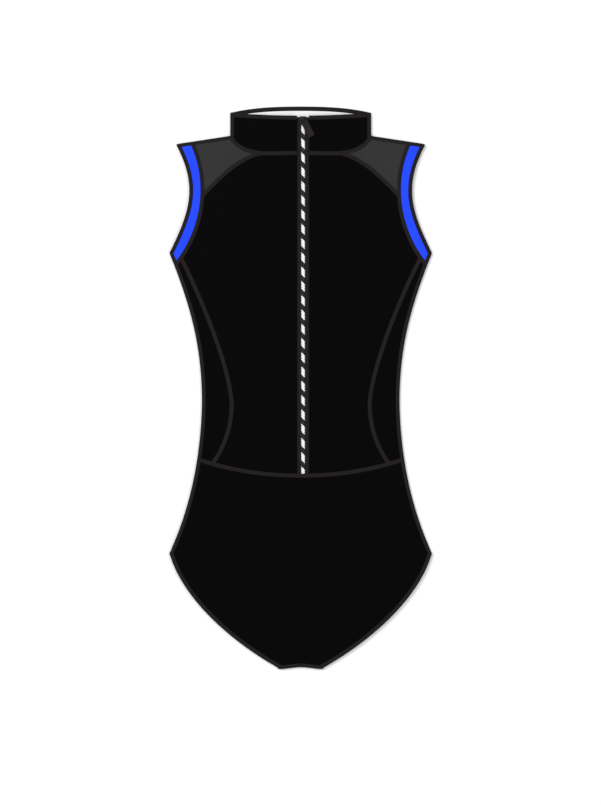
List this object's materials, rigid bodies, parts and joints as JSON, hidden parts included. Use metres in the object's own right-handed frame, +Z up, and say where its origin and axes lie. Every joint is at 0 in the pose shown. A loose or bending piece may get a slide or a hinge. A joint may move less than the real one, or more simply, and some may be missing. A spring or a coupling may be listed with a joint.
{
  "type": "leotard",
  "caption": "Sleeveless leotard laid out flat on its back, with a stand collar, a front zip down to the waist seam, shoulder yokes, curved side panels and contrast armhole bands.",
  "frame": {"origin": "on the surface that the garment lies on, under the middle of its outline", "axes": "+Z up out of the front of the garment, +Y along the garment from crotch to collar, +X to the wearer's left"},
  "size_m": [0.333, 0.714, 0.0092],
  "materials": {
    "black_knit": "matte stretch knit",
    "charcoal_knit": "matte stretch knit",
    "blue_knit": "matte stretch knit",
    "pale_lining": "soft brushed jersey",
    "zip_tape": "woven tape",
    "zip_teeth": "moulded teeth",
    "slider_metal": "dark satin",
    "pull_rubber": "soft moulded"
  },
  "bodies": {
    "garment": {"back": "black_knit", "brief_front": "black_knit", "front_left": "black_knit", "front_right": "black_knit", "side_panel_left": "black_knit", "side_panel_right": "black_knit", "yoke_left": "charcoal_knit", "yoke_right": "charcoal_knit", "armhole_band_left": "blue_knit", "armhole_band_right": "blue_knit", "collar": "black_knit", "collar_lining": "pale_lining", "zip_tape_left": "zip_tape", "zip_tape_right": "zip_tape", "zip_chain": "zip_teeth", "zip_slider": "slider_metal"},
    "pull_tab": {"zip_pull": "pull_rubber"}
  },
  "joints": [
    {"name": "pull_hinge", "type": "hinge", "parent": "garment", "child": "pull_tab", "pos_m": [0.003, 0.3396, 0.0073], "axis": [-0.887, -0.4617, 0], "range_deg": [0, 170]}
  ]
}
